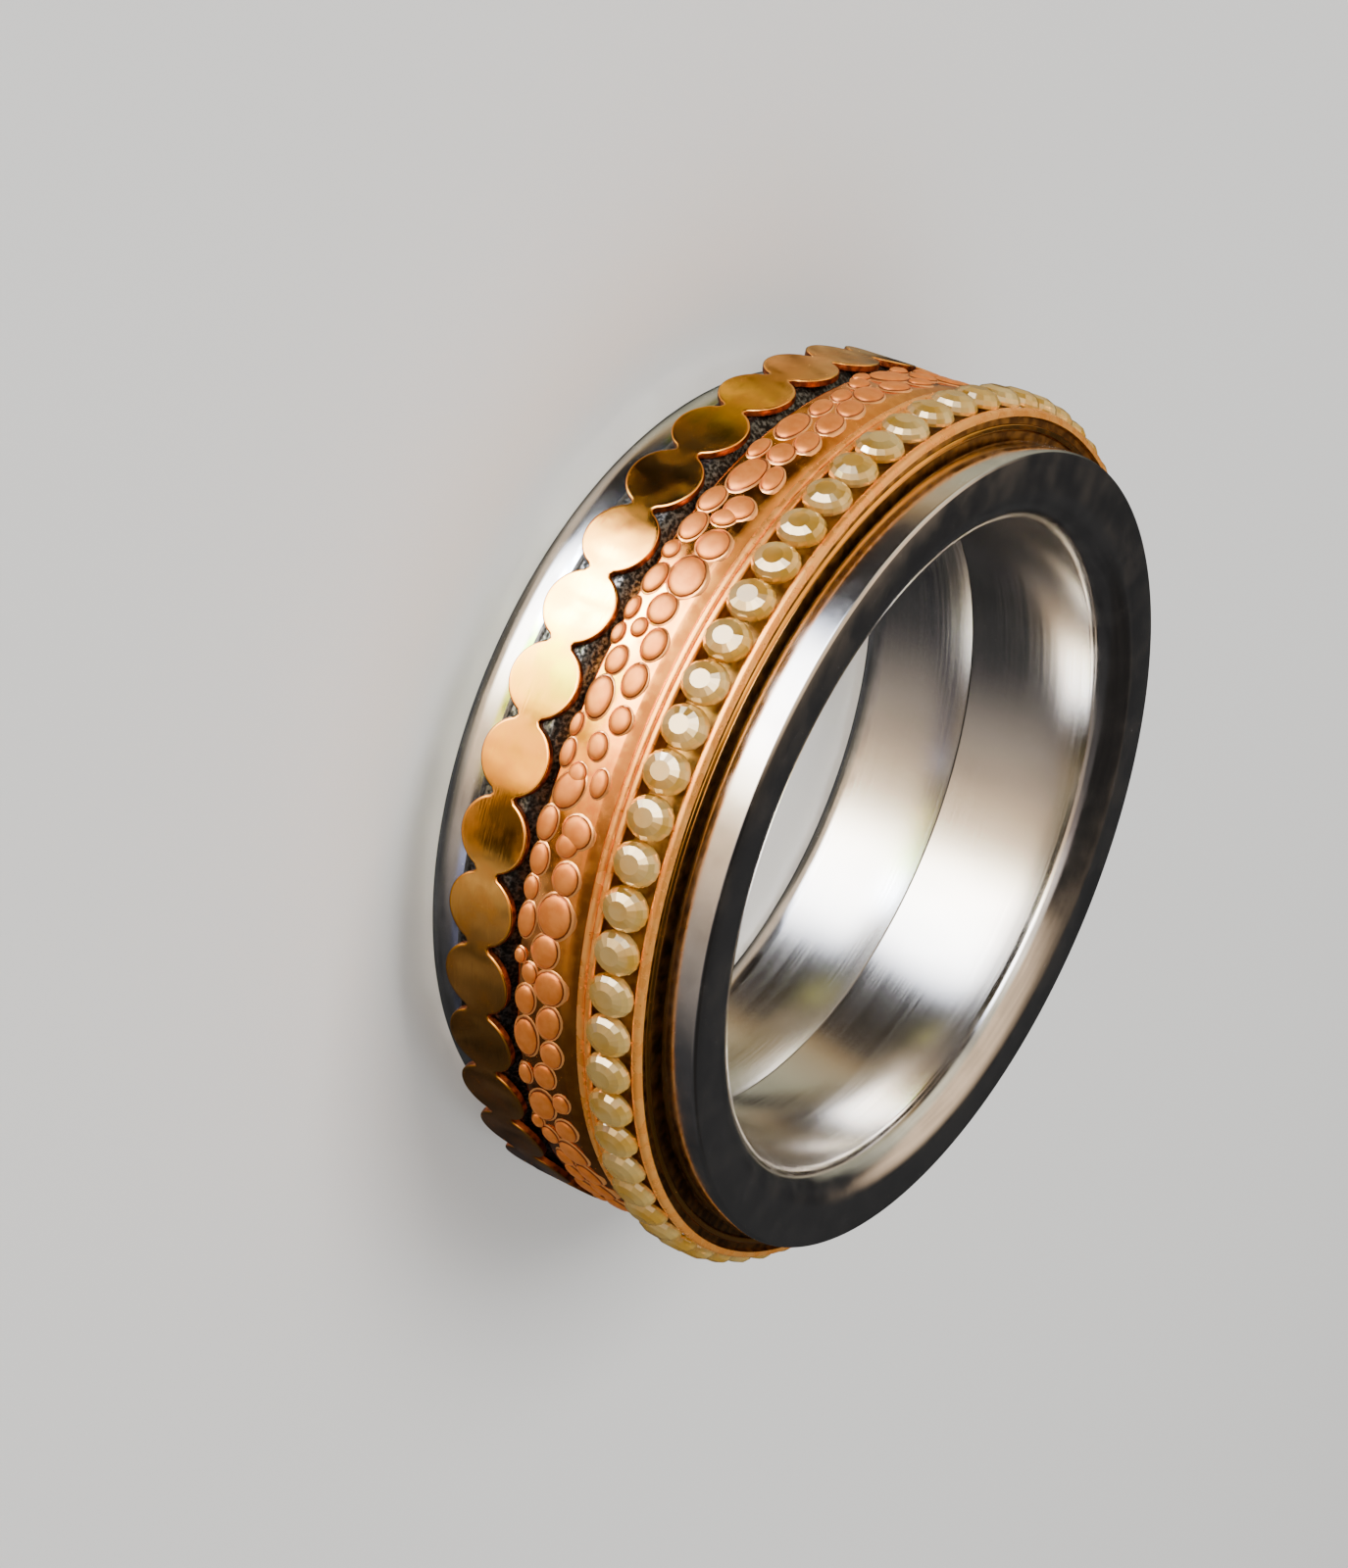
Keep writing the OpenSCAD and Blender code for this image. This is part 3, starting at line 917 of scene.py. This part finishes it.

# %% [markdown]
# ## Rose gold of the coins
# The coins are plated and polished, and they rub on everything, so they carry the most scratches. The strip
# isn't perfectly flat either, which bends the reflections a little. The sheared side of the strip is dull,
# and its dark brown is partly its own colour, partly painted shade of the gap. The edge between both shines.

# %% Rose gold of the coins
rose_gold, tree = new_material("rose gold plating")
place = add(tree, "ShaderNodeTexCoord").outputs["Object"]
wear = add(tree, "ShaderNodeTexNoise", {"Vector": place, "Scale": 1.5 / MM, "Detail": 5.0})
waves = add(tree, "ShaderNodeTexNoise", {"Vector": place, "Scale": 0.7 / MM, "Detail": 1.0})
colour = blend(tree, wear, 0.4, 0.7, "#ffb048", "#f8a440")
gloss = add(tree, "ShaderNodeMapRange", {
    "Value": wear, "From Min": 0.35, "From Max": 0.7, "To Min": 0.08, "To Max": 0.24,
}, interpolation_type="SMOOTHSTEP")
first = scratches(tree, place, (40, 25, 0), 0.9, 0.02)
second = scratches(tree, place, (-30, 60, 30), 1.1, 0.03)
lines = add(tree, "ShaderNodeMath", {0: first, 1: second}, operation="ADD")
bump = add(tree, "ShaderNodeBump", {"Height": lines, "Strength": 0.6, "Distance": 0.0016 * MM})
bent = add(tree, "ShaderNodeBump", {
    "Height": waves, "Strength": 0.5, "Distance": 0.07 * MM, "Normal": bump,
})
show(tree, add(tree, "ShaderNodeBsdfPrincipled", {
    "Base Color": colour, "Metallic": 1.0, "Roughness": gloss, "Normal": bent,
}))
coins.data.materials.append(rose_gold)
print("rose gold plating on", coins.name)

# %% The sheared edge of the coins, darker with painted shade
sheared_and_shaded, tree = new_material("sheared edge of the strip")
place = add(tree, "ShaderNodeTexCoord").outputs["Object"]
grain = add(tree, "ShaderNodeTexNoise", {"Vector": place, "Scale": 5 / MM, "Detail": 3.0})
# The dark brown is partly the sheared edge's own colour, partly painted shade of the gap beside the coins.
colour = blend(tree, grain, 0.35, 0.65, "#4a2414", "#8a4a26")
show(tree, add(tree, "ShaderNodeBsdfPrincipled", {"Base Color": colour, "Metallic": 1.0, "Roughness": 0.5}))
coins.data.materials.append(sheared_and_shaded)
for face in coins.data.polygons:
    outwards = Vector((face.center.x, face.center.y, 0)).normalized()
    if abs(face.normal.dot(outwards)) < 0.3:
        face.material_index = 1
print("sheared edge on", sum(face.material_index for face in coins.data.polygons), "faces")

# %% [markdown]
# ## Rose gold of the channel
# The wires of the channel are satin rather than mirror bright, so they stay orange where a polished wall
# would turn black. Their plating scatters part of the light, which a share of plain colour gives. The groove,
# the channel's floor, the underside and the ledge are never rubbed; their brown is partly tarnish and partly
# painted shade of these hollows. The ridge is as bright as the coins.

# %% Rose gold of the channel
satin_gold, tree = new_material("satin rose gold")
place = add(tree, "ShaderNodeTexCoord").outputs["Object"]
wear = add(tree, "ShaderNodeTexNoise", {"Vector": place, "Scale": 2.5 / MM, "Detail": 4.0})
colour = blend(tree, wear, 0.35, 0.65, "#ffa040", "#ffae54")
gloss = add(tree, "ShaderNodeMapRange", {
    "Value": wear, "From Min": 0.35, "From Max": 0.7, "To Min": 0.24, "To Max": 0.36,
}, interpolation_type="SMOOTHSTEP")
round_lines = add(tree, "ShaderNodeMapping", {"Vector": place, "Scale": (0.4 / MM, 0.4 / MM, 20 / MM)})
lines = add(tree, "ShaderNodeTexNoise", {"Vector": round_lines, "Scale": 1.0, "Detail": 2.0})
bump = add(tree, "ShaderNodeBump", {"Height": lines, "Strength": 0.15, "Distance": 0.002 * MM})
show(tree, add(tree, "ShaderNodeBsdfPrincipled", {
    "Base Color": colour, "Metallic": 0.6, "Roughness": gloss, "Specular IOR Level": 0.2, "Normal": bump,
}))
stone_band.data.materials.append(satin_gold)
print("satin rose gold on", stone_band.name)

# %% Tarnish and painted shade in the channel
tarnish_and_shade, tree = new_material("tarnished rose gold with painted shade")
place = add(tree, "ShaderNodeTexCoord").outputs["Object"]
spots = add(tree, "ShaderNodeTexNoise", {"Vector": place, "Scale": 3 / MM, "Detail": 4.0})
# Brown: partly tarnish, partly painted shade in the hollows where these faces lie.
colour = blend(tree, spots, 0.3, 0.7, "#704c22", "#bc8844")
show(tree, add(tree, "ShaderNodeBsdfPrincipled", {"Base Color": colour, "Metallic": 1.0, "Roughness": 0.4}))
stone_band.data.materials.append(tarnish_and_shade)
stone_band.data.materials.append(rose_gold)
# The underside, the fine groove, the channel's floor and the ledge get the brown with painted shade.
for face in stone_band.data.polygons:
    radius = math.hypot(face.center.x, face.center.y) / MM
    height = face.center.z / MM
    top = height > 7.01 and radius < 11.04
    channel = radius < 11.15 and 5.77 < height < 6.93
    side = height < 5.37 or 5.575 < height < 5.595
    if top or channel or side:
        face.material_index = 2 if top and 10.67 < radius < 10.855 else 1
print("tarnish and ridge on", sum(face.material_index > 0 for face in stone_band.data.polygons), "faces")

# %% [markdown]
# ## Cast copper
# The ground between the pebbles was polished and shines. The tops of the pebbles are satin, in a pinker
# copper. A dark line of painted shade runs round each on its steep side, and the fillet at its foot is
# painted lighter, a painted highlight. The tops are told from the sides by each point's distance from the
# ring's axis.

# %% Cast copper
cast_copper, tree = new_material("copper plated casting")
place = add(tree, "ShaderNodeTexCoord").outputs["Object"]
wear = add(tree, "ShaderNodeTexNoise", {"Vector": place, "Scale": 3 / MM, "Detail": 4.0})
colour = blend(tree, wear, 0.35, 0.65, "#f0903c", "#ffa348")
gloss = add(tree, "ShaderNodeMapRange", {
    "Value": wear, "From Min": 0.35, "From Max": 0.7, "To Min": 0.08, "To Max": 0.2,
}, interpolation_type="SMOOTHSTEP")
bump = add(tree, "ShaderNodeBump", {"Height": wear, "Strength": 0.3, "Distance": 0.006 * MM})
show(tree, add(tree, "ShaderNodeBsdfPrincipled", {
    "Base Color": colour, "Metallic": 1.0, "Roughness": gloss, "Normal": bump,
}))
pebble_band.data.materials.append(cast_copper)
print("copper plated casting on", pebble_band.name)

# %% Satin copper of the pebbles, with a painted dark rim and a painted highlight at the foot
satin_copper_with_painted_light, tree = new_material("satin copper pebbles")
place = add(tree, "ShaderNodeTexCoord").outputs["Object"]
split = add(tree, "ShaderNodeSeparateXYZ", {"Vector": place})
flat_place = add(tree, "ShaderNodeCombineXYZ", {"X": split.outputs["X"], "Y": split.outputs["Y"]})
radius = add(tree, "ShaderNodeVectorMath", {0: flat_place}, operation="LENGTH").outputs["Value"]
grain = add(tree, "ShaderNodeTexNoise", {"Vector": place, "Scale": 4 / MM, "Detail": 4.0})
top = blend(tree, grain, 0.3, 0.7, "#dc7a30", "#e88c40")
# Painted light: the fillet at the foot is lighter, a painted highlight, and the steep side above it is dark,
# painted shade.
side = blend(tree, radius, 11.21 * MM, 11.225 * MM, "#ffae62", "#7a3c20")
colour = blend(tree, radius, 11.23 * MM, 11.26 * MM, side, top)
high = add(tree, "ShaderNodeMapRange", {
    "Value": radius, "From Min": 11.23 * MM, "From Max": 11.26 * MM,
}, interpolation_type="SMOOTHSTEP")
gloss = add(tree, "ShaderNodeMapRange", {
    "Value": high, "To Min": 0.2, "To Max": 0.46,
}, interpolation_type="SMOOTHSTEP")
bump = add(tree, "ShaderNodeBump", {"Height": grain, "Strength": 0.3, "Distance": 0.006 * MM})
show(tree, add(tree, "ShaderNodeBsdfPrincipled", {
    "Base Color": colour, "Metallic": 0.55, "Roughness": gloss, "Specular IOR Level": 0.15, "Normal": bump,
}))
pebbles.data.materials.append(satin_copper_with_painted_light)
print("satin copper on", pebbles.name)

# %% [markdown]
# ## Champagne stones
# These are cubic zirconia of a warm champagne colour. They bend light strongly, so each has one or two
# facets that flash white and a deep golden body. The crown has a golden vapour coat, the back is a mirror
# foil, and skin oil clouds them, which a share of scattered light gives.

# %% Champagne stones
champagne, tree = new_material("champagne zirconia")
place = add(tree, "ShaderNodeTexCoord").outputs["Object"]
cloud = add(tree, "ShaderNodeTexNoise", {"Vector": place, "Scale": 1.1 / MM, "Detail": 3.0})
colour = blend(tree, cloud, 0.35, 0.65, "#f4b840", "#ffd67c")
gloss = add(tree, "ShaderNodeMapRange", {
    "Value": cloud, "From Min": 0.3, "From Max": 0.7, "To Min": 0.03, "To Max": 0.12,
}, interpolation_type="SMOOTHSTEP")
show(tree, add(tree, "ShaderNodeBsdfPrincipled", {
    "Base Color": colour, "Roughness": gloss, "IOR": 2.15, "Transmission Weight": 0.48,
    "Specular IOR Level": 1.0, "Specular Tint": linear("#ffdc98"), "Coat Weight": 0.5, "Coat IOR": 2.0,
}))
stones.data.materials.append(champagne)
print("champagne zirconia on", stones.name)

# %% The foil behind the stones
foil, tree = new_material("mirror foil")
place = add(tree, "ShaderNodeTexCoord").outputs["Object"]
cloud = add(tree, "ShaderNodeTexNoise", {"Vector": place, "Scale": 2 / MM, "Detail": 3.0})
colour = blend(tree, cloud, 0.35, 0.65, "#d8a850", "#fff0c8")
show(tree, add(tree, "ShaderNodeBsdfPrincipled", {"Base Color": colour, "Metallic": 1.0, "Roughness": 0.08}))
stones.data.materials.append(foil)
for face in stones.data.polygons:
    if math.hypot(face.center.x, face.center.y) < (GIRDLE - 0.01) * MM:
        face.material_index = 1
print("mirror foil on", sum(face.material_index for face in stones.data.polygons), "faces")

# %% [markdown]
# ## Hand every piece to its body
# Each dressed piece stands for its CAD node and moves with the same body.

# %% Hand every piece to its body
HANDOVER = [
    (base_ring, "base", "base_ring", "steel"),
    (end_cap, "cap", "end_cap", "steel"),
    (coin_band, "coin", "coin_band", "dark_steel"),
    (coins, "coin", "coin_chain", "rose_gold_chain"),
    (pebble_band, "pebble", "pebble_ring", "copper_relief"),
    (pebbles, "pebble", None, "copper_relief"),
    (stone_band, "stone", "stone_band", "rose_gold_channel"),
    (stones, "stone", "stones", "champagne_stone"),
]
for piece, body, node, slot in HANDOVER:
    piece.name = piece.name.replace(" ", "_") + "_dressed"
    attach(piece, body)
    if node:
        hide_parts(node)
